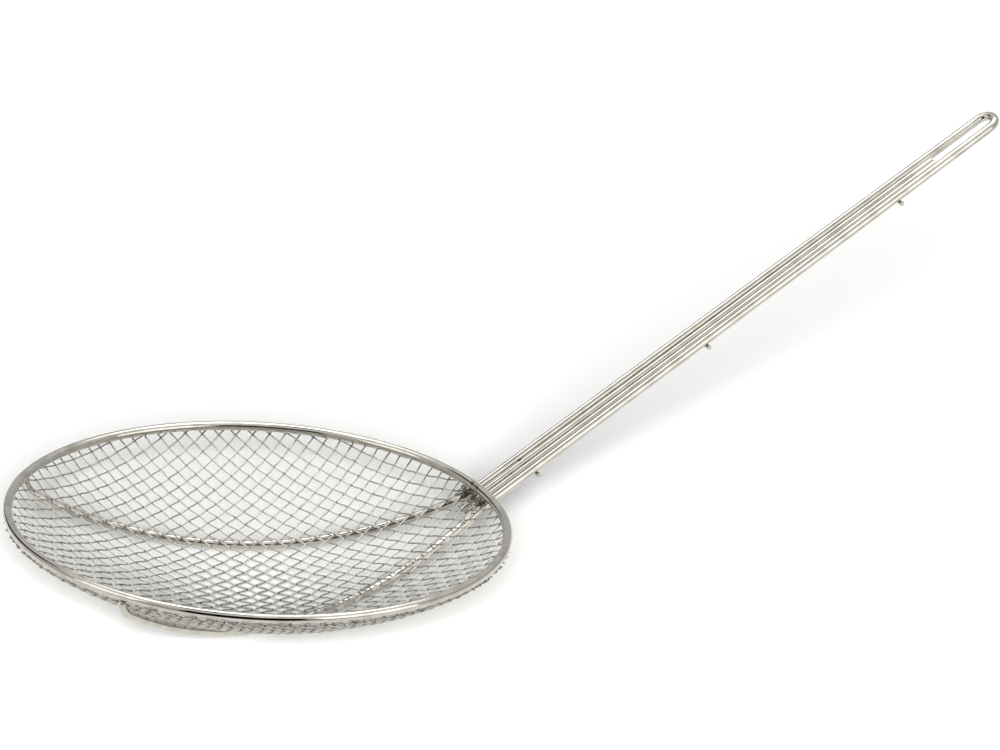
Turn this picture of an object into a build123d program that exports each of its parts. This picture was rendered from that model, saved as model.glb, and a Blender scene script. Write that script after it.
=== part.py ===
"""Spider skimmer: a shallow woven wire bowl under a round hoop, on a long handle of four wires.

Millimetres, +Z up. The bowl's axis is the Z axis, the lowest wire lies on Z = 0, and the handle
rises towards +X. Every piece is wire, cut and bent, then spot welded where it crosses another.
Round wire is drawn with flat sides, its corners on the real surface, to keep the facets few.
"""

import math
import os

from build123d import *

os.makedirs("parts", exist_ok=True)

# Hoop around the bowl's mouth
hoop_outer_diameter = 254.0
hoop_wire_diameter = 4.8

# Flat sides round the section of every wire but the mesh's, which are square and have the
# section area of the real ones: those are round and 0.9 thick. Mesh wires curve in short
# straight runs, of this length at most
wire_sides = 14
mesh_wire_side = 0.8
mesh_wire_run = 20.0
mesh_pitch = 6.64
bowl_depth = 40.0
mesh_overhang = 2.2
warp_angle = -68.2
weft_angle = 26.2
warp_phase_share = 0.214
weft_phase_share = 0.357

# Frame wire: one wire makes both ribs, both outer limbs of the handle and the loop at its end.
# It is drawn as three pieces that meet face to face where the ribs bend into the limbs
frame_wire_diameter = 4.5
handle_length = 334.2
handle_rise = 29.7
limb_spacing_at_hoop = 16.2
limb_spacing_at_loop = 11.6
left_rib_end_angle = 129.5
right_rib_end_angle = -152.0
rib_overhang = 1.5
limb_bend_length = 8.0

# Two inner handle wires, thinner, side by side between the limbs and cut short of the loop. Each
# one's place is a share of the space from limb to limb, and their undersides lie level
inner_wire_diameter = 3.6
inner_wire_inboard = 8.0
inner_place_share = 0.155
slot_length = 35.6

# Three wires across below the handle: two placed along it from the hoop, and the third placed
# back from the inner wires' ends, which it holds
cross_wire_diameter = 2.3
cross_wire_stub = 0.5
first_cross_wire_place = 33.5
second_cross_wire_place = 142.6
third_cross_wire_inset = 27.6

# Free space left where two wires touch
seat_clearance = 0.05

# Radii of the spheres that the layers of wire lie on, all about one centre on the bowl's axis.
# A mesh wire's straight runs pass inside its sphere, and each layer leaves room for that
hoop_radius = (hoop_outer_diameter - hoop_wire_diameter) / 2
bowl_radius = (hoop_radius**2 + bowl_depth**2) / (2 * bowl_depth)
run_drop = mesh_wire_run**2 / (8 * bowl_radius)
hoop_to_mesh = hoop_wire_diameter / 2 + seat_clearance + run_drop
layer_thickness = mesh_wire_side + seat_clearance + run_drop
middle_drop = bowl_depth - hoop_to_mesh - mesh_wire_side
centre_over_hoop = (hoop_radius**2 - middle_drop**2) / (2 * middle_drop)
hoop_sphere = math.hypot(hoop_radius, centre_over_hoop)
warp_sphere = hoop_sphere + hoop_to_mesh + mesh_wire_side / 2
weft_sphere = warp_sphere + layer_thickness
rib_sphere = weft_sphere + mesh_wire_side / 2 + seat_clearance + frame_wire_diameter / 2
mesh_reach = hoop_radius + mesh_overhang
limb_azimuth = math.degrees(math.asin(limb_spacing_at_hoop / 2 / hoop_radius))


def around_axis(angle, radius):
    """The point at an angle from +X and a distance from the bowl's axis, seen from above."""
    return Vector(radius, 0, 0).rotate(Axis.Z, angle)


class RibRoute:
    """A rib's circular arc, in the upright plane through two points of the hoop seen from above."""

    def __init__(self, limb_angle, end_angle):
        start = around_axis(limb_angle, hoop_radius)
        end = around_axis(end_angle, hoop_radius + rib_overhang)
        self.along = (end - start).normalized()
        self.foot = start - self.along * start.dot(self.along)
        self.radius = math.sqrt(rib_sphere**2 - self.foot.length**2)
        # The bend to the limb has its corner over the hoop, on the tangent where the arc starts
        corner_reach = math.hypot(self.radius, limb_bend_length)
        lead = math.atan2(limb_bend_length, self.radius)
        self.start_turn = math.asin(start.dot(self.along) / corner_reach) + lead
        self.middle_turn = (self.start_turn + math.asin(end.dot(self.along) / self.radius)) / 2
        self.end_turn = math.asin(end.dot(self.along) / self.radius)

    def point(self, turn):
        """The arc's point at a turn in radians from its lowest point."""
        drop = Vector(0, 0, centre_height - self.radius * math.cos(turn))
        return self.foot + self.along * (self.radius * math.sin(turn)) + drop

    def heading(self, turn):
        """The arc's direction there, towards the rib's far end."""
        return self.along * math.cos(turn) + Vector(0, 0, math.sin(turn))

    def corner(self):
        """The corner of the bend between the rib and its limb."""
        return self.point(self.start_turn) - self.heading(self.start_turn) * limb_bend_length


left_rib = RibRoute(limb_azimuth, left_rib_end_angle)
right_rib = RibRoute(-limb_azimuth, right_rib_end_angle)

# The part stands on the wire that reaches lowest, and that sets the height of the spheres' centre
rib_reach = max(left_rib.radius, right_rib.radius) + frame_wire_diameter / 2
mesh_bottom_reach = weft_sphere + mesh_wire_side / 2
centre_height = max(rib_reach, mesh_bottom_reach)
hoop_height = centre_height - centre_over_hoop
bowl_centre = Vector(0, 0, centre_height)

# The handle's plane holds both corners, and its origin is halfway between them
left_corner = left_rib.corner()
right_corner = right_rib.corner()
handle_heading = Vector(1, 0, 0).rotate(Axis.Y, -handle_rise)
handle_plane = Plane(
    origin=(left_corner + right_corner) / 2,
    x_dir=handle_heading,
    z_dir=handle_heading.cross(left_corner - right_corner),
)

# The loop's circle at the handle's end
loop_radius = limb_spacing_at_loop / 2
loop_centre_along = handle_length - frame_wire_diameter / 2 - loop_radius


def on_handle(along, across, above=0):
    """The point along the handle from the hoop, across it, and above its wires' middles."""
    return handle_plane.from_local_coords(Vector(along, across, above))


def loop_tangent(corner, side):
    """The point of the loop's circle where the straight limb from a corner runs into it."""
    local = handle_plane.to_local_coords(corner)
    reach = math.hypot(local.X - loop_centre_along, local.Y)
    turn = math.atan2(local.Y, local.X - loop_centre_along) - side * math.acos(loop_radius / reach)
    return on_handle(
        loop_centre_along + loop_radius * math.cos(turn),
        loop_radius * math.sin(turn),
    )


def limb_spacing(along):
    """The distance between the limbs' middles, at a place along the handle from the hoop."""
    taper_share = along / loop_centre_along
    return limb_spacing_at_hoop + (limb_spacing_at_loop - limb_spacing_at_hoop) * taper_share


def square_to(line):
    """The plane square to a line's start."""
    return Plane(origin=line @ 0, z_dir=line % 0)


# Hoop: a ring of round wire, its ends butt welded
with BuildPart() as rim_hoop:
    with BuildSketch(Plane.XZ):
        with Locations((hoop_radius, hoop_height)):
            RegularPolygon(hoop_wire_diameter / 2, wire_sides)
    revolve(axis=Axis.Z)
rim_hoop.part.label = "rim_hoop"
export_step(rim_hoop.part, "parts/rim_hoop.step")


def mesh_wire(angle, place, sphere):
    """One mesh wire: a cut length bent to an arc on a layer's sphere, in an upright plane."""
    along = Vector(1, 0, 0).rotate(Axis.Z, angle)
    across = Vector(0, 1, 0).rotate(Axis.Z, angle)
    arc_radius = math.sqrt(sphere**2 - place**2)
    half_length = math.sqrt(mesh_reach**2 - place**2)
    half_turn = math.asin(half_length / arc_radius)
    runs = math.ceil(2 * half_turn * arc_radius / mesh_wire_run)
    turns = [half_turn * (2 * number / runs - 1) for number in range(runs + 1)]
    upright = Plane(origin=bowl_centre + across * place, x_dir=along, z_dir=-across)
    with BuildPart() as wire:
        with BuildLine(upright) as route:
            Polyline(
                [(arc_radius * math.sin(turn), -arc_radius * math.cos(turn)) for turn in turns]
            )
        # Two flats of the section face along the sphere's radius
        start = route.line @ 0
        heading = route.line % 0
        flat = (start - bowl_centre).cross(heading)
        with BuildSketch(Plane(origin=start, x_dir=flat, z_dir=heading)):
            Rectangle(mesh_wire_side, mesh_wire_side)
        sweep(path=route.line, transition=Transition.RIGHT)
    return wire.part.solid()


def mesh_layer(angle, phase_share, sphere):
    """One layer of mesh wires, parallel and evenly spaced as seen from above."""
    outermost = mesh_reach - mesh_wire_side
    first = math.ceil(-outermost / mesh_pitch - phase_share)
    last = math.floor(outermost / mesh_pitch - phase_share)
    places = [(number + phase_share) * mesh_pitch for number in range(first, last + 1)]
    return Compound([mesh_wire(angle, place, sphere) for place in places])


# Mesh: the warp lies under the hoop, the weft under the warp, and both end just past the hoop
mesh_warp_wires = mesh_layer(warp_angle, warp_phase_share, warp_sphere)
mesh_warp_wires.label = "mesh_warp_wires"
export_step(mesh_warp_wires, "parts/mesh_warp_wires.step")

mesh_weft_wires = mesh_layer(weft_angle, weft_phase_share, weft_sphere)
mesh_weft_wires.label = "mesh_weft_wires"
export_step(mesh_weft_wires, "parts/mesh_weft_wires.step")

# Outer handle wire: left bend, left limb, loop, right limb and right bend in one run
left_start = left_rib.point(left_rib.start_turn)
right_start = right_rib.point(right_rib.start_turn)
left_tangent = loop_tangent(left_corner, 1)
right_tangent = loop_tangent(right_corner, -1)
left_limb = (left_tangent - left_corner).normalized()
right_limb = (right_tangent - right_corner).normalized()
left_limb_start = left_corner + left_limb * limb_bend_length
right_limb_start = right_corner + right_limb * limb_bend_length

with BuildPart() as outer_handle_wire:
    with BuildLine() as handle_route:
        TangentArc(left_start, left_limb_start, tangent=-left_rib.heading(left_rib.start_turn))
        Line(left_limb_start, left_tangent)
        ThreePointArc(left_tangent, on_handle(loop_centre_along + loop_radius, 0), right_tangent)
        Line(right_tangent, right_limb_start)
        TangentArc(right_limb_start, right_start, tangent=-right_limb)
    with BuildSketch(square_to(handle_route.line)):
        RegularPolygon(frame_wire_diameter / 2, wire_sides)
    sweep(path=handle_route.line)
outer_handle_wire.part.label = "outer_handle_wire"
export_step(outer_handle_wire.part, "parts/outer_handle_wire.step")


def rib_wire(rib):
    """A rib below the mesh, from the bend into its limb to its far end below the hoop."""
    with BuildPart() as wire:
        with BuildLine() as route:
            ThreePointArc(
                rib.point(rib.start_turn), rib.point(rib.middle_turn), rib.point(rib.end_turn)
            )
        with BuildSketch(square_to(route.line)):
            RegularPolygon(frame_wire_diameter / 2, wire_sides)
        sweep(path=route.line)
    return wire


left_rib_wire = rib_wire(left_rib)
left_rib_wire.part.label = "left_rib_wire"
export_step(left_rib_wire.part, "parts/left_rib_wire.step")

right_rib_wire = rib_wire(right_rib)
right_rib_wire.part.label = "right_rib_wire"
export_step(right_rib_wire.part, "parts/right_rib_wire.step")

inner_wires_end = handle_length - frame_wire_diameter - slot_length


def inner_handle_wire(side):
    """A straight wire that starts under the mesh and ends where the hanging slot begins."""
    above = (inner_wire_diameter - frame_wire_diameter) / 2
    root_across = side * inner_place_share * limb_spacing(-inner_wire_inboard)
    end_across = side * inner_place_share * limb_spacing(inner_wires_end)
    with BuildPart() as wire:
        with BuildLine() as route:
            Line(
                on_handle(-inner_wire_inboard, root_across, above),
                on_handle(inner_wires_end, end_across, above),
            )
        with BuildSketch(square_to(route.line)):
            RegularPolygon(inner_wire_diameter / 2, wire_sides)
        sweep(path=route.line)
    return wire


inner_wire_left = inner_handle_wire(1)
inner_wire_left.part.label = "inner_wire_left"
export_step(inner_wire_left.part, "parts/inner_wire_left.step")

inner_wire_right = inner_handle_wire(-1)
inner_wire_right.part.label = "inner_wire_right"
export_step(inner_wire_right.part, "parts/inner_wire_right.step")


def cross_wire(along):
    """A short straight wire across the handle, welded below its four wires."""
    half_length = limb_spacing(along) / 2 + frame_wire_diameter / 2 + cross_wire_stub
    above = -frame_wire_diameter / 2 - seat_clearance - cross_wire_diameter / 2
    with BuildPart() as wire:
        with BuildLine() as route:
            Line(on_handle(along, -half_length, above), on_handle(along, half_length, above))
        with BuildSketch(square_to(route.line)):
            RegularPolygon(cross_wire_diameter / 2, wire_sides)
        sweep(path=route.line)
    return wire


cross_wire_rim = cross_wire(first_cross_wire_place)
cross_wire_rim.part.label = "cross_wire_rim"
export_step(cross_wire_rim.part, "parts/cross_wire_rim.step")

cross_wire_middle = cross_wire(second_cross_wire_place)
cross_wire_middle.part.label = "cross_wire_middle"
export_step(cross_wire_middle.part, "parts/cross_wire_middle.step")

cross_wire_loop = cross_wire(inner_wires_end - third_cross_wire_inset)
cross_wire_loop.part.label = "cross_wire_loop"
export_step(cross_wire_loop.part, "parts/cross_wire_loop.step")

# Heights and places that the mounts and openings are set from
print("hoop's middle height", round(hoop_height, 3))
print("bowl sphere's centre height", round(centre_height, 3))
print("mesh underside's height", round(centre_height - mesh_bottom_reach, 3))
print("handle plane's origin", handle_plane.origin)
print("handle end", on_handle(handle_length, 0))
print("slot middle", on_handle(inner_wires_end + slot_length / 2, 0))
print("slot's width", limb_spacing(inner_wires_end) - frame_wire_diameter)
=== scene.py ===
import math
import random

import bpy
import numpy as np
from mathutils import Matrix, Vector, noise


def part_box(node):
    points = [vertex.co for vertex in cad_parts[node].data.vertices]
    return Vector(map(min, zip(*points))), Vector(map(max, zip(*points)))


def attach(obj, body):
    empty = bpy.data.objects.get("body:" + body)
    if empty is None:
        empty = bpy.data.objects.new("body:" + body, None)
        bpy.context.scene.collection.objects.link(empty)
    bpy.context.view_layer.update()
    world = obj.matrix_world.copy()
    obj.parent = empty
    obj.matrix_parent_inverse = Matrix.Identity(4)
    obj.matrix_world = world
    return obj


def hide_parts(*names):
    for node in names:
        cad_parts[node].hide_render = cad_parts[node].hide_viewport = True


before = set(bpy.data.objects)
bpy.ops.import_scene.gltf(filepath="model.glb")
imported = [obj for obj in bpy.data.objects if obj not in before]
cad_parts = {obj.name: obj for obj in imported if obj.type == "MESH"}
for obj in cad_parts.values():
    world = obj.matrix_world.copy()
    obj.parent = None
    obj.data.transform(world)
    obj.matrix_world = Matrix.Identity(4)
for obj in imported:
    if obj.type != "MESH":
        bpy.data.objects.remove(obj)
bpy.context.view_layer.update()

# Hoop round the bowl's mouth. Mild steel wire, rolled to a ring and butt welded, then nickel and
# chrome plated with the rest. It is the stiff edge that everything else is welded to
mm = 0.001
hoop_low, hoop_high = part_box("rim_hoop")
hoop_wire_radius = 2.4 * mm
hoop_radius = hoop_high.x - hoop_wire_radius
hoop_height = (hoop_low.z + hoop_high.z) / 2
# The handle's four wires are welded under the hoop in one row, and the heat stained the plate
root_weld_reach, root_weld_height = 122.5 * mm, 36.0 * mm
root_weld_places = (-8 * mm, -2.5 * mm, 2.5 * mm, 8 * mm)
root_welds = np.array([(root_weld_reach, across, root_weld_height) for across in root_weld_places])
weld_stain_strength, weld_stain_reach = 0.9, 4.5 * mm


def unit(vectors):
    """Rows of an array, each made one long."""
    return vectors / np.linalg.norm(vectors, axis=-1, keepdims=True)


def wire_frames(points, closed):
    """Along each point of a wire: its heading and two directions square to it, without twist."""
    if closed:
        headings = unit(np.roll(points, -1, axis=0) - np.roll(points, 1, axis=0))
    else:
        headings = unit(np.gradient(points, axis=0))
    side = np.cross(headings[0], (0.0, 0.0, 1.0))
    # A wire that starts almost upright takes its side from the X axis instead
    almost_upright = 0.1
    if np.linalg.norm(side) < almost_upright:
        side = np.cross(headings[0], (1.0, 0.0, 0.0))
    sides = []
    for heading in headings:
        side = side - heading * side.dot(heading)
        side = side / np.linalg.norm(side)
        sides.append(side)
    sides = np.array(sides)
    return headings, sides, np.cross(headings, sides)


def wire_rings(points, radii, sides_round, closed=False):
    """A wire's skin: its vertices ring by ring, its faces, and the place of each vertex on the
    straight wire before it was bent, which the drawing lines and spots of the plate follow."""
    headings, left, up = wire_frames(points, closed)
    steps = np.linalg.norm(np.diff(points, axis=0), axis=1)
    along = np.concatenate(([0.0], np.cumsum(steps)))
    turns = np.arange(sides_round) * math.tau / sides_round
    circle = np.stack((np.cos(turns), np.sin(turns)), axis=1)
    radii = np.broadcast_to(radii, len(points))
    vertices, straight = [], []
    for number, point in enumerate(points):
        flat = circle * radii[number]
        vertices.append(point + flat[:, :1] * left[number] + flat[:, 1:] * up[number])
        straight.append(np.column_stack((flat, np.full(sides_round, along[number]))))
    count = len(points)
    faces = []
    for ring in range(count if closed else count - 1):
        first, second = ring * sides_round, (ring + 1) % count * sides_round
        for side in range(sides_round):
            after = (side + 1) % sides_round
            faces.append((first + side, first + after, second + after, second + side))
    if not closed:
        faces.append(tuple(reversed(range(sides_round))))
        faces.append(tuple(range((count - 1) * sides_round, count * sides_round)))
    return np.concatenate(vertices), faces, np.concatenate(straight)


def weld_heat(vertices):
    """How far the heat of the nearest weld under the hoop has stained each vertex, 0 to 1."""
    gaps = np.linalg.norm(vertices[:, None, :] - root_welds[None, :, :], axis=2).min(axis=1)
    return weld_stain_strength * np.exp(-((gaps / weld_stain_reach) ** 2))


# Each wire of a group is cut from its own length, so its spots differ from the next one's
length_between_cuts = 0.37


def make_piece(name, skins, material, replaced, stains_and_shade=None):
    """One object from the skins of one or more wires. It rides on the only body, root."""
    vertices, faces, straight = [], [], []
    reached = 0
    for number, (skin_vertices, skin_faces, skin_straight) in enumerate(skins):
        vertices.append(skin_vertices)
        faces.extend(tuple(corner + reached for corner in face) for face in skin_faces)
        straight.append(skin_straight + np.array((0.0, 0.0, number * length_between_cuts)))
        reached += len(skin_vertices)
    vertices = np.concatenate(vertices)
    mesh = bpy.data.meshes.new(name)
    mesh.from_pydata(vertices.tolist(), [], faces)
    mesh.polygons.foreach_set("use_smooth", [True] * len(mesh.polygons))
    place = mesh.attributes.new("drawn_place", "FLOAT_VECTOR", "POINT")
    place.data.foreach_set("vector", np.concatenate(straight).astype(np.float32).ravel())
    # Weld and heat stains, and on the mesh also the shade painted where its wires cross
    stain_and_shade = mesh.attributes.new("stain_and_shade", "FLOAT", "POINT")
    stains_and_shade = weld_heat(vertices) if stains_and_shade is None else np.maximum(stains_and_shade, weld_heat(vertices))
    stain_and_shade.data.foreach_set("value", stains_and_shade.astype(np.float32))
    mesh.materials.append(material)
    piece = bpy.data.objects.new(name, mesh)
    bpy.context.scene.collection.objects.link(piece)
    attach(piece, "root")
    if replaced:
        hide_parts(*replaced)
    return piece


def linear(colour):
    """An sRGB hex colour as the linear values that a shader takes."""
    shares = [int(colour[place:place + 2], 16) / 255 for place in (1, 3, 5)]
    return tuple(
        share / 12.92 if share <= 0.04045 else ((share + 0.055) / 1.055) ** 2.4
        for share in shares
    ) + (1.0,)


def add_node(tree, kind, inputs=None, **settings):
    """A shader node with its settings, and its inputs set to values or linked to sockets."""
    node = tree.nodes.new(kind)
    for name, value in settings.items():
        setattr(node, name, value)
    for name, value in (inputs or {}).items():
        if isinstance(value, bpy.types.NodeSocket):
            tree.links.new(value, node.inputs[name])
        else:
            node.inputs[name].default_value = value
    return node


# The die's lines are 60 times as long as they are wide. Real ones are under 0.1 mm wide and are
# drawn wider, so that they show
line_stretch = 60
line_bump, line_depth = 0.1, 0.02 * mm
# A stained place, and a place of painted shade, is this much rougher than the plate round it
stain_roughness = 0.25


def plated_steel(name, clean, dulled, stain_and_shade_colour, smooth, rough, spot_size, line_width):
    """Drawn steel wire under plate: fine lines along it, duller patches, and stained places, which
    on the mesh also hold painted shade.
    Sockets that share a name in a node go by their numbers: 6 and 7 are a Mix node's colours."""
    material = bpy.data.materials.new(name)
    material.use_nodes = True
    tree = material.node_tree
    shader = tree.nodes["Principled BSDF"]
    place = add_node(tree, "ShaderNodeAttribute", attribute_name="drawn_place").outputs["Vector"]
    stain_and_shade = add_node(tree, "ShaderNodeAttribute", attribute_name="stain_and_shade").outputs["Fac"]
    stretched = add_node(
        tree, "ShaderNodeMapping", {"Vector": place, "Scale": (1, 1, 1 / line_stretch)}
    ).outputs["Vector"]
    lines = add_node(
        tree, "ShaderNodeTexNoise", {"Vector": stretched, "Scale": 1 / line_width, "Detail": 3}
    ).outputs["Fac"]
    patches = add_node(
        tree, "ShaderNodeTexNoise", {"Vector": place, "Scale": 1 / spot_size, "Detail": 4}
    ).outputs["Fac"]
    tint = add_node(
        tree, "ShaderNodeMapRange", {0: patches, 1: 0.45, 2: 0.7, 3: 0.0, 4: 1.0}
    ).outputs["Result"]
    plate = add_node(
        tree, "ShaderNodeMix", {0: tint, 6: linear(clean), 7: linear(dulled)}, data_type="RGBA"
    ).outputs[2]
    # Stains and painted shade are ragged: they follow their strength, broken up by the patches'
    # noise
    ragged = add_node(
        tree, "ShaderNodeMath", {0: patches, 1: 1.5, 2: -0.75}, operation="MULTIPLY_ADD"
    ).outputs["Value"]
    stain_and_shade_reach = add_node(
        tree, "ShaderNodeMath", {0: stain_and_shade, 1: ragged}, operation="ADD"
    ).outputs["Value"]
    stain_and_shade_share = add_node(
        tree, "ShaderNodeMapRange", {0: stain_and_shade_reach, 1: 0.35, 2: 0.95, 3: 0.0, 4: 1.0}
    ).outputs["Result"]
    colour = add_node(
        tree, "ShaderNodeMix", {0: stain_and_shade_share, 6: plate, 7: linear(stain_and_shade_colour)}, data_type="RGBA"
    ).outputs[2]
    plate_roughness = add_node(
        tree, "ShaderNodeMapRange", {0: lines, 1: 0.3, 2: 0.7, 3: smooth, 4: rough}
    ).outputs["Result"]
    roughness = add_node(
        tree, "ShaderNodeMath", {0: stain_and_shade_share, 1: stain_roughness, 2: plate_roughness},
        operation="MULTIPLY_ADD",
    ).outputs["Value"]
    bump = add_node(
        tree,
        "ShaderNodeBump",
        {"Height": lines, "Strength": line_bump, "Distance": line_depth},
    ).outputs["Normal"]
    shader.inputs["Metallic"].default_value = 1.0
    tree.links.new(colour, shader.inputs["Base Color"])
    tree.links.new(roughness, shader.inputs["Roughness"])
    tree.links.new(bump, shader.inputs["Normal"])
    return material


# Bright nickel and chrome plate over drawn steel: a pale warm mirror with soft lengthwise lines,
# brown where welding burnt it
bright_plate = plated_steel(
    "nickel_plated_drawn_steel",
    clean="#C0BDB4",
    dulled="#ABA89E",
    stain_and_shade_colour="#4E3B2C",
    smooth=0.02,
    rough=0.06,
    spot_size=9 * mm,
    line_width=0.35 * mm,
)

hoop_points, hoop_sides = 480, 32
hoop_turns = np.linspace(0, math.tau, hoop_points, endpoint=False)
# A rolled ring is out of round by a few tenths of a millimetre, inward of its true size here
out_of_round = 0.12 * mm
roll_waves, first_wave_turn = 3, 0.6
rolled = np.sin(roll_waves * hoop_turns + first_wave_turn) * np.cos(hoop_turns)
hoop_reach = hoop_radius - out_of_round * (1 + rolled)
hoop_line = np.column_stack(
    (
        hoop_reach * np.cos(hoop_turns),
        hoop_reach * np.sin(hoop_turns),
        np.full(len(hoop_turns), hoop_height),
    )
)
hoop_skin = wire_rings(hoop_line, hoop_wire_radius, hoop_sides, closed=True)
# Two of the handle's welds have burnt through to the hoop's inner side
burnt_spots = np.array([(122.6, 0.5, 45.0), (123.0, -5.2, 44.4)]) * mm
burnt_spot_reach = 1.7 * mm
spot_gaps = np.linalg.norm(hoop_skin[0][:, None, :] - burnt_spots[None, :, :], axis=2).min(axis=1)
make_piece(
    "hoop_ring",
    [hoop_skin],
    bright_plate,
    ["rim_hoop"],
    stains_and_shade=np.exp(-((spot_gaps / burnt_spot_reach) ** 2)),
)

# Woven mesh: steel wire in a plain weave, one over and one under, pressed to a shallow dish,
# trimmed round and welded under the hoop. Pressing keeps the sides of its cells and takes their
# right angles, except at one flat spot near the bowl's front
mesh_pitch = 6.786 * mm
warp_heading = math.radians(-65.6)
weft_heading = math.radians(18.2)
flat_spot = np.array((-15.2, -66.9)) * mm
# The real wire is about 0.9 mm thick, and is drawn at 0.8 mm. Both crimps together are less than
# that, so two wires sink into each other by 0.28 mm where they cross
mesh_wire_radius = 0.4 * mm
warp_crimp = 0.25 * mm
weft_crimp = 0.27 * mm
mesh_reach = 126.5 * mm
weave_radius = 234.45 * mm
# The bowl's centre lies over the CAD mesh's underside, at the radius of that underside
underside_radius = 235.4 * mm
bowl_centre = np.array((0.0, 0.0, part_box("mesh_weft_wires")[0].z + underside_radius))
# Crossings are laid out this many cells from the flat spot, and up to this height from the centre
cells_out = 31
highest_crossing = -170 * mm
# A wire is left out with fewer crossings than this, or fewer cells inside the trimmed edge
least_knots, least_cells = 4, 2
samples_per_cell = 6
mesh_sides = 8
# Trimming leaves the ends uneven, and pressing leaves each wire a little off its line
cut_scatter, least_share = 0.4 * mm, 0.02
slow_wander, slow_wander_cells = 0.1 * mm, 5
quick_wander, quick_wander_cells = 0.06 * mm, 1.7
# Welding squeezes the mesh against the hoop, and swells the wires' ends
squeeze, squeeze_start, squeeze_length = 0.3 * mm, 114 * mm, 10 * mm
end_swelling, swelling_length = 0.15, 1 * mm
# Shade is painted dark where wires cross, and heat stains their ends
crossing_shade, crossing_sharpness = 0.7, 12
end_stain, end_stain_length = 0.5, 2 * mm
chance = random.Random(7)


def flat_direction(angle):
    """The level direction at an angle from the part's X axis."""
    return np.array((math.cos(angle), math.sin(angle), 0.0))


def fourth_corner(first, second, behind):
    """The crossing one pitch from two others, over the cell from a third. All are taken from the
    bowl's centre, and there is none where the mesh has left the bowl."""
    base = (first + second) * (weave_radius**2 - mesh_pitch**2 / 2)
    base = base / (weave_radius**2 + first.dot(second))
    lift = weave_radius**2 - base.dot(base)
    if not lift > 0 or max(first[2], second[2]) > highest_crossing:
        return np.full(3, np.nan)
    side = unit(np.cross(first, second)) * math.sqrt(lift)
    if (base + side - behind).dot(base + side - behind) < (base - side - behind).dot(
        base - side - behind
    ):
        side = -side
    return base + side


def weave_crossings():
    """All crossings of the mesh, from the bowl's centre, built outward from the flat spot."""
    start = np.array((*flat_spot, -math.sqrt(weave_radius**2 - flat_spot.dot(flat_spot))))
    outward = unit(start)
    step = 2 * math.asin(mesh_pitch / 2 / weave_radius)
    turns = np.arange(-cells_out, cells_out + 1)[:, None] * step
    crossings = np.full((2 * cells_out + 1, 2 * cells_out + 1, 3), np.nan)
    lines = []
    for heading in (warp_heading, weft_heading):
        along = flat_direction(heading)
        along = unit(along - outward * along.dot(outward))
        lines.append(weave_radius * (outward * np.cos(turns) + along * np.sin(turns)))
    crossings[:, cells_out], crossings[cells_out] = lines
    for warp_way in (1, -1):
        for weft_way in (1, -1):
            for warp_count in range(1, cells_out + 1):
                for weft_count in range(1, cells_out + 1):
                    i, j = cells_out + warp_way * warp_count, cells_out + weft_way * weft_count
                    crossings[i, j] = fourth_corner(
                        crossings[i - warp_way, j],
                        crossings[i, j - weft_way],
                        crossings[i - warp_way, j - weft_way],
                    )
    return crossings


def woven_wire(knots, number, crimp):
    """One mesh wire's skin with its stains and its painted shade, or nothing where it would be
    under two cells long.
    """
    rows = np.flatnonzero(~np.isnan(knots[:, 0]))
    if len(rows) < least_knots:
        return None
    knots = knots[rows]
    shares = (np.arange(samples_per_cell) / samples_per_cell)[:, None]
    before, first, second, after = knots[:-3], knots[1:-2], knots[2:-1], knots[3:]
    line = [
        first[cell]
        + shares * (second[cell] - before[cell]) / 2
        + shares**2 * (2 * before[cell] - 5 * first[cell] + 4 * second[cell] - after[cell]) / 2
        + shares**3 * (3 * first[cell] - 3 * second[cell] + after[cell] - before[cell]) / 2
        for cell in range(len(first))
    ]
    line = np.concatenate(line)
    beats = rows[0] + 1 + np.arange(len(line)) / samples_per_cell
    reach = np.hypot(line[:, 0], line[:, 1])
    inside = np.flatnonzero(reach < mesh_reach)
    if len(inside) < least_cells * samples_per_cell:
        return None
    low, high = inside[0], inside[-1]
    ends = []
    for kept, left_out in ((low, low - 1), (high, high + 1)):
        cut = mesh_reach - chance.uniform(0, cut_scatter)
        share = (cut - reach[kept]) / (reach[left_out] - reach[kept])
        share = min(1.0, max(least_share, share))
        end = line[kept] + share * (line[left_out] - line[kept])
        ends.append((end, kept + share * (left_out - kept)))
    places = np.concatenate(([ends[0][1]], np.arange(low, high + 1), [ends[1][1]]))
    line = np.concatenate(([ends[0][0]], line[low : high + 1], [ends[1][0]]))
    beats = np.interp(places, np.arange(len(beats)), beats)
    reach = np.hypot(line[:, 0], line[:, 1])
    wander = slow_wander * np.sin(beats / slow_wander_cells + chance.uniform(0, math.tau))
    wander += quick_wander * np.sin(beats / quick_wander_cells + chance.uniform(0, math.tau))
    outward = unit(line)
    line = line + np.cross(outward, unit(np.gradient(line, axis=0))) * wander[:, None]
    squeezed = np.clip((reach - squeeze_start) / squeeze_length, 0, 1)
    over_or_under = np.cos(math.pi * beats) * (-1) ** (number % 2)
    offset = crimp * over_or_under - squeeze * squeezed**2
    points = bowl_centre + unit(line) * (weave_radius + offset)[:, None]
    to_edge = mesh_reach - reach
    radii = mesh_wire_radius * (1 + end_swelling * np.exp(-((to_edge / swelling_length) ** 2)))
    # Painted shade: the wire is darker at each crossing, where one wire presses on the other
    stains_and_shade = crossing_shade * np.abs(over_or_under) ** crossing_sharpness
    stains_and_shade = np.maximum(stains_and_shade, end_stain * np.exp(-((to_edge / end_stain_length) ** 2)))
    return wire_rings(points, radii, mesh_sides), np.repeat(stains_and_shade, mesh_sides)
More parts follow.
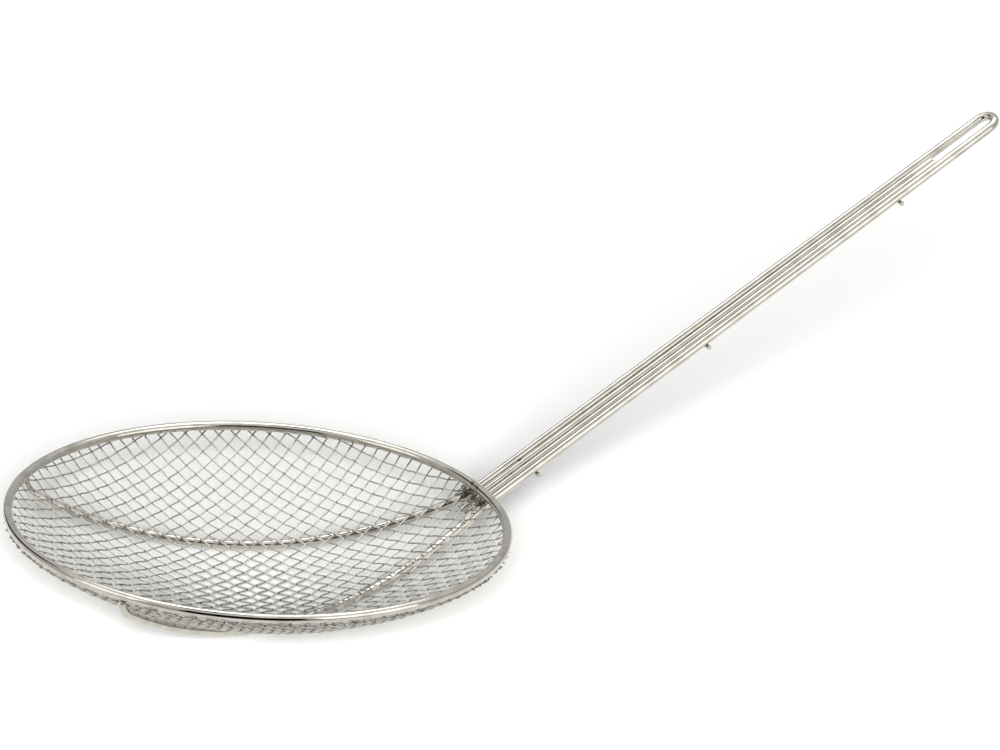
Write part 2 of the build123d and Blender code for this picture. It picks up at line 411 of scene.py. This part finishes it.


# The mesh is plated after weaving. Plate is thin and dull where wires touch, and shade is painted
# dark there
mesh_plate = plated_steel(
    "dull_plated_mesh_wire",
    clean="#B2B0A9",
    dulled="#98968F",
    stain_and_shade_colour="#403D3A",
    smooth=0.05,
    rough=0.16,
    spot_size=5 * mm,
    line_width=0.25 * mm,
)
crossings = weave_crossings()
for name, node, knot_lines, crimp in (
    ("warp_weave", "mesh_warp_wires", np.swapaxes(crossings, 0, 1), warp_crimp),
    ("weft_weave", "mesh_weft_wires", crossings, -weft_crimp),
):
    wires = [woven_wire(knots, number, crimp) for number, knots in enumerate(knot_lines)]
    wires = [wire for wire in wires if wire]
    if name == "warp_weave":
        # One trimmed end beside the handle missed its weld and curls up
        stray = [(119.2, 10.4, 35.2), (120.3, 9.6, 36.2), (121.0, 9.0, 37.6), (120.8, 8.7, 39.0)]
        stray_stain = 0.3
        stray_skin = wire_rings(np.array(stray) * mm, mesh_wire_radius, mesh_sides)
        wires.append((stray_skin, np.full(len(stray_skin[0]), stray_stain)))
    make_piece(
        name,
        [skin for skin, stains_and_shade in wires],
        mesh_plate,
        [node],
        stains_and_shade=np.concatenate([stains_and_shade for skin, stains_and_shade in wires]),
    )

# Frame wire: one length of 4.5 mm steel wire, bent by hand tools into the left rib, the outer
# handle wire with its hanging loop, and the right rib. The ribs carry the mesh, and their far ends
# turn up to the hoop, where they are welded
frame_wire_radius = 2.25 * mm
rib_sphere = 237.7 * mm
handle_rise = math.radians(29.7)
handle_length = 334.2 * mm
limb_spacing_at_hoop = 16.2 * mm
limb_spacing_at_loop = 11.6 * mm
limb_bend_length = 8 * mm
rib_end_overhang = 1.5 * mm
rib_end_radius = hoop_radius + rib_end_overhang
left_rib_end_angle = math.radians(129.5)
right_rib_end_angle = math.radians(-152)
rib_upturn_reach = 124 * mm
rib_upturn_length = 5.6 * mm
rib_upturn_bend = 4.8 * mm
frame_wire_sides = 28
rib_points, upturn_points, limb_points, loop_points = 90, 10, 60, 40
limb_azimuth = math.asin(limb_spacing_at_hoop / 2 / hoop_radius)
up = np.array((0.0, 0.0, 1.0))


def bend(start, corner, end, count=12):
    """Points of a smooth bend between two straight runs that meet at a corner."""
    shares = np.linspace(0, 1, count)[:, None]
    return (1 - shares) ** 2 * start + 2 * shares * (1 - shares) * corner + shares**2 * end


def rib_line(limb_angle, end_angle):
    """The corner between rib and limb, and the rib's points from its bend to its upturned end."""
    start = hoop_radius * flat_direction(limb_angle)
    end = rib_end_radius * flat_direction(end_angle)
    along = unit(end - start)
    foot = start - along * start.dot(along)
    radius = math.sqrt(rib_sphere**2 - foot.dot(foot))
    lead = math.atan2(limb_bend_length, radius)
    corner_reach = math.hypot(radius, limb_bend_length)
    first_turn = math.asin(start.dot(along) / corner_reach) + lead
    end = rib_upturn_reach * flat_direction(end_angle)
    last_turn = math.asin(end.dot(along) / radius)

    def on_arc(turn):
        height = bowl_centre[2] - radius * math.cos(turn)
        return foot + along * radius * math.sin(turn) + up * height

    heading = along * math.cos(first_turn) + up * math.sin(first_turn)
    corner = on_arc(first_turn) - heading * limb_bend_length
    upturn_corner = on_arc(last_turn)
    turns = np.linspace(first_turn, last_turn - rib_upturn_bend / radius, rib_points)
    arc = np.array([on_arc(turn) for turn in turns])
    top = upturn_corner + up * rib_upturn_length
    upturn = bend(arc[-1], upturn_corner, top, upturn_points)[1:]
    return corner, np.concatenate((arc, upturn))


left_corner, left_rib = rib_line(limb_azimuth, left_rib_end_angle)
right_corner, right_rib = rib_line(-limb_azimuth, right_rib_end_angle)
handle_root = (left_corner + right_corner) / 2
handle_heading = np.array((math.cos(handle_rise), 0.0, math.sin(handle_rise)))
handle_across = unit(left_corner - right_corner)
handle_up = np.cross(handle_heading, handle_across)
loop_radius = limb_spacing_at_loop / 2
loop_centre_along = handle_length - frame_wire_radius - loop_radius


def on_handle(along, across, above=0.0):
    """A point along the handle from the hoop, across it, and above its wires' middles."""
    return handle_root + handle_heading * along + handle_across * across + handle_up * above


def limb_spacing(along):
    """The distance between the limbs' middles at a place along the handle."""
    share = along / loop_centre_along
    return limb_spacing_at_hoop + (limb_spacing_at_loop - limb_spacing_at_hoop) * share


def limb_line(corner, rib, side):
    """A limb's points from the rib's first point through the bend to the loop's tangent point."""
    offset = corner - handle_root
    reach = math.hypot(offset.dot(handle_heading) - loop_centre_along, offset.dot(handle_across))
    turn = math.pi / 2 * side - side * (
        math.acos(loop_radius / reach)
        - math.acos(min(1.0, abs(offset.dot(handle_across)) / reach))
    )
    tangent = on_handle(
        loop_centre_along + loop_radius * math.cos(turn), loop_radius * math.sin(turn)
    )
    heading = unit(tangent - corner)
    limb_start = corner + heading * limb_bend_length
    straight = np.linspace(limb_start, tangent, limb_points)
    return np.concatenate((bend(rib[0], corner, limb_start)[1:-1], straight)), turn


left_limb, left_turn = limb_line(left_corner, left_rib, 1)
right_limb, right_turn = limb_line(right_corner, right_rib, -1)
loop_turns = np.linspace(left_turn, right_turn, loop_points)[1:-1]
loop_line = np.array(
    [
        on_handle(loop_centre_along + loop_radius * math.cos(turn), loop_radius * math.sin(turn))
        for turn in loop_turns
    ]
)
frame_line = np.concatenate(
    (left_rib[::-1], left_limb, loop_line, right_limb[::-1], right_rib)
)
make_piece(
    "frame_wire",
    [wire_rings(frame_line, frame_wire_radius, frame_wire_sides)],
    bright_plate,
    ["outer_handle_wire", "left_rib_wire", "right_rib_wire"],
)

# Two inner handle wires, straight lengths of 3.6 mm wire, sheared off square. They start under
# the mesh, where they are welded to the hoop, and stop short of the loop to leave a slot to hang by
inner_wire_radius = 1.8 * mm
inner_wire_inboard = 8 * mm
inner_place_share = 0.155
slot_length = 35.6 * mm
inner_end_along = handle_length - 2 * frame_wire_radius - slot_length
# Thinner than the limbs, they lie lower, so that all four rest on the cross wires
inner_wire_lift = inner_wire_radius - frame_wire_radius


# Shears round each end a little: two places near it, and the wire's width at the end itself and at
# the nearer place, all as shares of its radius
rounding_places = (0.12, 0.4)
rounding_widths = (0.84, 0.95)


def cut_wire(start, end, radius, sides_round, runs=24):
    """A straight length of wire with sheared ends."""
    heading = unit(end - start)
    near, far = (heading * place * radius for place in rounding_places)
    points = [start, start + near, start + far]
    points += list(np.linspace(start, end, runs)[1:-1])
    points += [end - far, end - near, end]
    radii = np.full(len(points), radius)
    radii[[0, -1]] *= rounding_widths[0]
    radii[[1, -2]] *= rounding_widths[1]
    return wire_rings(np.array(points), radii, sides_round)


for side, name in ((1, "inner_wire_left"), (-1, "inner_wire_right")):
    root_across = side * inner_place_share * limb_spacing(-inner_wire_inboard)
    end_across = side * inner_place_share * limb_spacing(inner_end_along)
    make_piece(
        name + "_drawn",
        [
            cut_wire(
                on_handle(-inner_wire_inboard, root_across, inner_wire_lift),
                on_handle(inner_end_along, end_across, inner_wire_lift),
                inner_wire_radius,
                frame_wire_sides,
            )
        ],
        bright_plate,
        [name],
    )

# Three cross wires, 2.3 mm steel, sheared to length and spot welded under the four handle wires,
# which they hold side by side
cross_wire_radius = 1.15 * mm
cross_wire_stub = 0.5 * mm
cross_wire_sides, cross_wire_runs = 20, 12
seat_clearance = 0.05 * mm
cross_wire_places = {
    "cross_wire_rim": 33.5 * mm,
    "cross_wire_middle": 142.6 * mm,
    "cross_wire_loop": inner_end_along - 27.6 * mm,
}
for name, along in cross_wire_places.items():
    half_length = limb_spacing(along) / 2 + frame_wire_radius + cross_wire_stub
    below = -frame_wire_radius - seat_clearance - cross_wire_radius
    make_piece(
        name + "_drawn",
        [
            cut_wire(
                on_handle(along, -half_length, below),
                on_handle(along, half_length, below),
                cross_wire_radius,
                cross_wire_sides,
                cross_wire_runs,
            )
        ],
        bright_plate,
        [name],
    )

# Weld beads: steel melted between the pieces, and plated with them. Four join the handle's wires to
# the hoop in one burnt row, two hold the inner wires to the mesh, one is between the hoop and the
# left limb, and one is at each rib's end
bead_rings, bead_sides = 13, 16
# A bead's ends stop just short of a point
bead_turn, bead_bluntness = 0.49 * math.pi, 1.02
bead_lumps = 0.14
dent_size, dent_depth = 0.9 * mm, 0.22 * mm


def weld_bead(middle, heading, length, thickness, seed):
    """A lumpy bead's skin, thickest in its middle, along a heading."""
    shares = np.sin(np.linspace(-1, 1, bead_rings) * bead_turn)
    points = middle + shares[:, None] * heading * length / 2
    bead_chance = random.Random(seed)
    lumps = [1 + bead_chance.uniform(-bead_lumps, bead_lumps) for share in shares]
    radii = thickness / 2 * np.sqrt(bead_bluntness - shares**2) * np.array(lumps)
    vertices, faces, straight = wire_rings(points, radii, bead_sides)
    dents = np.array(
        [noise.noise(Vector(vertex / dent_size) + Vector((seed, 0, 0))) for vertex in vertices]
    )
    outward = unit(vertices - middle)
    return vertices + outward * dents[:, None] * dent_depth, faces, straight


# Each bead's stain, middle, heading, length, thickness and seed
row_middles = ((122.6, -7.9, 39.4), (122.4, -2.6, 39.6), (122.3, 2.6, 39.6), (122.4, 7.9, 39.8))
row_heading = flat_direction(math.radians(88))
bead_places = [
    (0.75, np.array(middle) * mm, row_heading, 3.6 * mm, 2.2 * mm, seed)
    for seed, middle in enumerate(row_middles)
]
bead_places += [
    (0.5, np.array((118.6, across, 32.4)) * mm, handle_heading, 2.6 * mm, 1.5 * mm, seed)
    for seed, across in ((10, -2.6), (11, 2.6))
]
limb_side = np.array((127.2, 8.4, 40.2)) * mm
limb_side_heading = flat_direction(math.radians(94))
bead_places.append((0.1, limb_side, limb_side_heading, 3.4 * mm, 2.2 * mm, 15))
rib_bead_reach = 123.8 * mm
rib_bead_height = hoop_low.z - 0.2 * mm
for seed, turn in ((20, left_rib_end_angle), (21, right_rib_end_angle)):
    rib_end = rib_bead_reach * flat_direction(turn) + up * rib_bead_height
    round_hoop = flat_direction(turn + math.pi / 2)
    bead_places.append((0.1, rib_end, round_hoop, 5 * mm, 2.4 * mm, seed))
beads = [weld_bead(*place) for stain_and_shade, *place in bead_places]
make_piece(
    "weld_beads",
    beads,
    bright_plate,
    None,
    stains_and_shade=np.concatenate(
        [np.full(len(bead[0]), place[0]) for bead, place in zip(beads, bead_places)]
    ),
)

# Floor: matt white paper under the object, far wider than the picture. A little of its white is its
# own, for the eye and for the wires that mirror it
scene = bpy.context.scene
scene.view_settings.view_transform = "Standard"
floor_half = 4.0
paper_own_white = 0.1
floor_mesh = bpy.data.meshes.new("paper_floor")
floor_mesh.from_pydata(
    [
        (-floor_half, -floor_half, 0.0),
        (floor_half, -floor_half, 0.0),
        (floor_half, floor_half, 0.0),
        (-floor_half, floor_half, 0.0),
    ],
    [],
    [(0, 1, 2, 3)],
)
floor = bpy.data.objects.new("paper_floor", floor_mesh)
scene.collection.objects.link(floor)


def uncoated_paper(name, colour):
    """Paper of one colour, with no gloss for the eye to catch."""
    material = bpy.data.materials.new(name)
    material.use_nodes = True
    shader = material.node_tree.nodes["Principled BSDF"]
    shader.inputs["Base Color"].default_value = linear(colour)
    shader.inputs["Roughness"].default_value = 0.9
    shader.inputs["Specular IOR Level"].default_value = 0.0
    return material


paper = uncoated_paper("white_paper", "#FAFAF8")
paper_tree = paper.node_tree
paper_ray = add_node(paper_tree, "ShaderNodeLightPath")
mirrored_or_seen = add_node(
    paper_tree,
    "ShaderNodeMath",
    {0: paper_ray.outputs["Is Camera Ray"], 1: paper_ray.outputs["Is Glossy Ray"]},
    operation="ADD",
).outputs["Value"]
own_white = add_node(
    paper_tree, "ShaderNodeMath", {0: mirrored_or_seen, 1: paper_own_white}, operation="MULTIPLY"
).outputs["Value"]
paper_shader = paper_tree.nodes["Principled BSDF"]
paper_shader.inputs["Emission Color"].default_value = linear("#FFFFFF")
paper_tree.links.new(own_white, paper_shader.inputs["Emission Strength"])
floor_mesh.materials.append(paper)

# Room: pale walls that the wires mirror, brighter towards the ceiling. To the eye it is plain
# white, and it lights the paper only a little
wall_brightness, ceiling_brightness = 0.62, 1.15
wall_height, ceiling_height = 0.35, 0.9
room_light = 0.05
room_white = 1.0
world = bpy.data.worlds.new("studio")
scene.world = world
world.use_nodes = True
sky = world.node_tree
sky.nodes.clear()
direction = add_node(sky, "ShaderNodeTexCoord").outputs["Generated"]
height = add_node(sky, "ShaderNodeSeparateXYZ", {"Vector": direction}).outputs["Z"]
mirrored = add_node(
    sky,
    "ShaderNodeMapRange",
    {0: height, 1: wall_height, 2: ceiling_height, 3: wall_brightness, 4: ceiling_brightness},
).outputs["Result"]
ray = add_node(sky, "ShaderNodeLightPath")
lit_or_mirrored = add_node(
    sky, "ShaderNodeMix", {0: ray.outputs["Is Glossy Ray"], 2: room_light, 3: mirrored}
).outputs[0]
background = add_node(
    sky, "ShaderNodeMix", {0: ray.outputs["Is Camera Ray"], 2: lit_or_mirrored, 3: room_white}
).outputs[0]
shell = add_node(sky, "ShaderNodeBackground", {"Color": background}).outputs["Background"]
add_node(sky, "ShaderNodeOutputWorld", {"Surface": shell})

# Softboxes: flat lamps above and on both sides, which give the wires their highlights. The paper
# doesn't take their light. Places are told as the camera sees them, from the middle of the bowl
view_turn = math.radians(31)
image_right = np.array((math.cos(view_turn), -math.sin(view_turn), 0.0))
image_away = np.array((math.sin(view_turn), math.cos(view_turn), 0.0))
bowl_middle = np.array((0.0, 0.0, 0.04))


def studio_place(right, near, height):
    """A place to the right of the bowl as the camera sees it, nearer to the camera, and above."""
    return bowl_middle + image_right * right - image_away * near + up * height


def add_softbox(name, place, width, height, power):
    """A flat softbox lamp that faces the bowl and lights only what mirrors it."""
    lamp = bpy.data.lights.new(name, "AREA")
    lamp.shape = "RECTANGLE"
    lamp.size = width
    lamp.size_y = height
    lamp.energy = power
    holder = bpy.data.objects.new(name, lamp)
    holder.location = place
    facing = Vector(bowl_middle - place)
    holder.rotation_euler = facing.to_track_quat("-Z", "Y").to_euler()
    holder.visible_diffuse = False
    scene.collection.objects.link(holder)


# Each one's place, width, height and watts
for name, place, width, height, power in (
    ("overhead_softbox", studio_place(0.1, -0.9, 2.6), 2.4, 1.8, 20),
    ("right_softbox", studio_place(0.7, 0.55, 0.27), 0.75, 0.55, 2.05),
    ("left_softbox", studio_place(-0.85, 0.38, 0.36), 0.55, 0.55, 1.2),
    ("top_softbox", studio_place(0.0, -0.33, 1.0), 0.9, 0.8, 2.1),
):
    add_softbox(name, place, width, height, power)

# Fill lamp: broad, on the camera's side. It lights the paper and lays the mesh's soft shadow on it
# behind the bowl. Wires don't mirror it
fill_strength = 8.2
fill_width = math.radians(17)
fill_elevation = math.radians(22.8)
fill = bpy.data.lights.new("camera_side_fill", "SUN")
fill.energy = fill_strength
fill.angle = fill_width
fill_holder = bpy.data.objects.new("camera_side_fill", fill)
fill_facing = Vector(image_away * math.cos(fill_elevation) - up * math.sin(fill_elevation))
fill_holder.rotation_euler = fill_facing.to_track_quat("-Z", "Y").to_euler()
fill_holder.visible_glossy = False
scene.collection.objects.link(fill_holder)

# Black cards: matt black paper round the object, which only the wires see. Each is mirrored as a
# dark line along them
card_corners, card_faces = [], []


def add_card(pairs):
    """One card, from its corners in pairs, each pair across it."""
    first = len(card_corners)
    card_corners.extend(tuple(corner) for pair in pairs for corner in pair)
    for start in range(first, first + 2 * len(pairs) - 2, 2):
        card_faces.append((start, start + 1, start + 3, start + 2))


# One lies on the floor on the camera's side of the bowl, and stands up at its far edge
front_card_sides = (-0.52, 0.4)
front_card_folds = ((0.24, -0.039), (0.9, -0.039), (1.0, 0.62))
add_card(
    [
        [studio_place(side, near, rise) for side in front_card_sides]
        for near, rise in front_card_folds
    ]
)
# A narrow one hangs high above, and draws the dark line along each of the handle's wires
high_middle = bowl_middle + up * 2.87 - image_right * 0.6 - image_away * 0.64
long_way = 0.62 * (image_right * 0.54 - image_away * 0.84)
short_way = 0.45 * (image_right * 0.84 + image_away * 0.54)
add_card(
    [
        [high_middle + long_share * long_way + short_share * short_way for short_share in (-1, 1)]
        for long_share in (-1, 1)
    ]
)
# A slanting one stands behind to the left, and draws the one on the hoop's left and right sides
slanting_card_aside = 0.21 * (image_right * 0.64 + image_away * 0.77)
slanting_card_folds = (
    (-0.79, -1.16, 0.06),
    (-1.0, -0.93, 0.32),
    (-1.02, -0.71, 0.65),
    (-0.85, -0.58, 0.95),
)
add_card(
    [
        [studio_place(*fold) + aside * slanting_card_aside for aside in (-1, 1)]
        for fold in slanting_card_folds
    ]
)
card_mesh = bpy.data.meshes.new("black_card")
card_mesh.from_pydata(card_corners, [], card_faces)
card_mesh.materials.append(uncoated_paper("black_paper", "#141414"))
card = bpy.data.objects.new("black_card", card_mesh)
scene.collection.objects.link(card)
for unseen in ("visible_camera", "visible_diffuse", "visible_shadow", "visible_transmission"):
    setattr(card, unseen, False)

# Camera: a long lens from far away, which looks down into the bowl and is turned a little. The
# hoop's middle and half width in the picture, in pixels, set its aim and its scale
camera_elevation = math.radians(22.19)
camera_tilt = 0.0636
# Other views stand further back with this same lens. From over 17.5 m here, they would be so far
# away that nothing is drawn
camera_distance = 16.0
camera_reach = 100.0
image_width, image_height = 1000, 750
hoop_half_width = 250.8
hoop_centre_column, hoop_centre_row = 257.65, 521.6
metres_per_pixel = hoop_radius / hoop_half_width
toward_camera = -image_away * math.cos(camera_elevation) + up * math.sin(camera_elevation)
level_up = image_away * math.sin(camera_elevation) + up * math.cos(camera_elevation)
camera_right = image_right * math.cos(camera_tilt) + level_up * math.sin(camera_tilt)
camera_up = -image_right * math.sin(camera_tilt) + level_up * math.cos(camera_tilt)
aim = np.array((0.0, 0.0, hoop_height))
aim = aim + camera_right * (image_width / 2 - hoop_centre_column) * metres_per_pixel
aim = aim + camera_up * (hoop_centre_row - image_height / 2) * metres_per_pixel
lens = bpy.data.cameras.new("long_lens")
lens.sensor_width = 36.0
lens.lens = lens.sensor_width * camera_distance / (image_width * metres_per_pixel)
lens.clip_end = camera_reach
camera = bpy.data.objects.new("camera", lens)
turn = Matrix((camera_right, camera_up, toward_camera)).transposed().to_4x4()
camera.matrix_world = Matrix.Translation(Vector(aim + toward_camera * camera_distance)) @ turn
scene.collection.objects.link(camera)
scene.camera = camera
